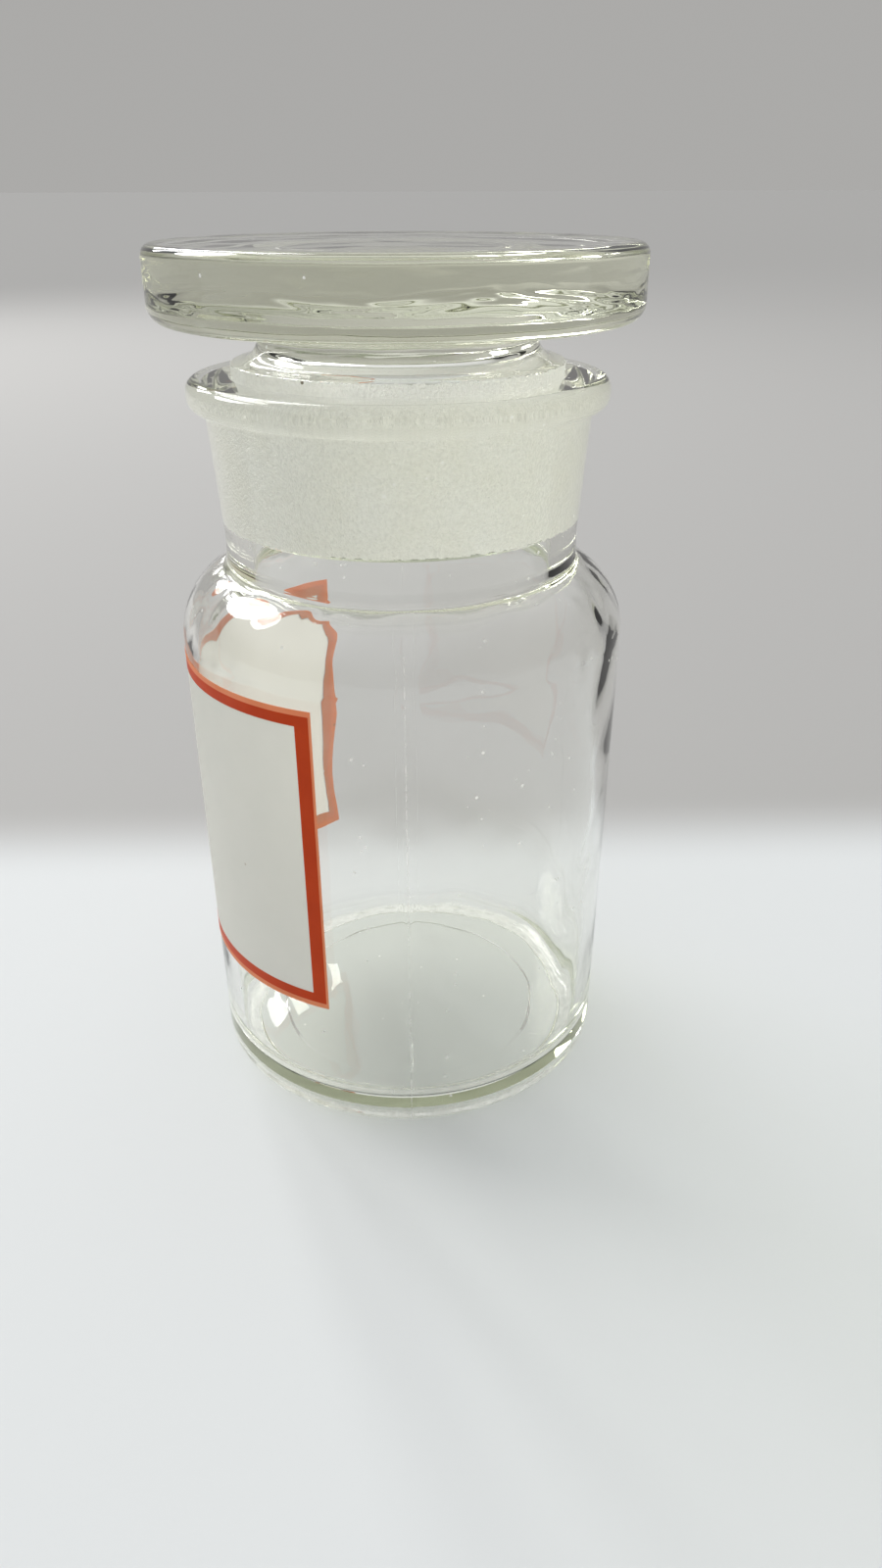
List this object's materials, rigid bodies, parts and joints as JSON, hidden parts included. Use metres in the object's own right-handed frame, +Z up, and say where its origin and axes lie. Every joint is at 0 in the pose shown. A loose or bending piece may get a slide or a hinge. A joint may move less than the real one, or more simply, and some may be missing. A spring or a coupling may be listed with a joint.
{
  "type": "reagent bottle",
  "caption": "Wide-mouth clear glass reagent bottle with a ground-in flat-headed glass stopper and a framed fired enamel label.",
  "frame": {"origin": "centre of the base, on the plane that the bottle rests on", "axes": "+Z up along the bottle's axis, -Y out of the middle of the label, +X to the right as the label is faced"},
  "size_m": [0.0606, 0.0606, 0.113],
  "materials": {
    "bottle_glass": "clear pressed glass, ground matt in the bore",
    "stopper_glass": "clear pressed glass, ground matt on the cone",
    "label_white": "fired white enamel, satin gloss",
    "label_orange": "fired orange-red enamel, satin gloss"
  },
  "bodies": {
    "bottle_body": {"bottle": "bottle_glass", "label_panel": "label_white", "label_frame": "label_orange"},
    "stopper_body": {"stopper": "stopper_glass"}
  },
  "joints": [
    {"name": "stopper_lift", "type": "slide", "parent": "bottle_body", "child": "stopper_body", "axis": [0, 0, 1], "range_m": [0, 0.04]}
  ]
}
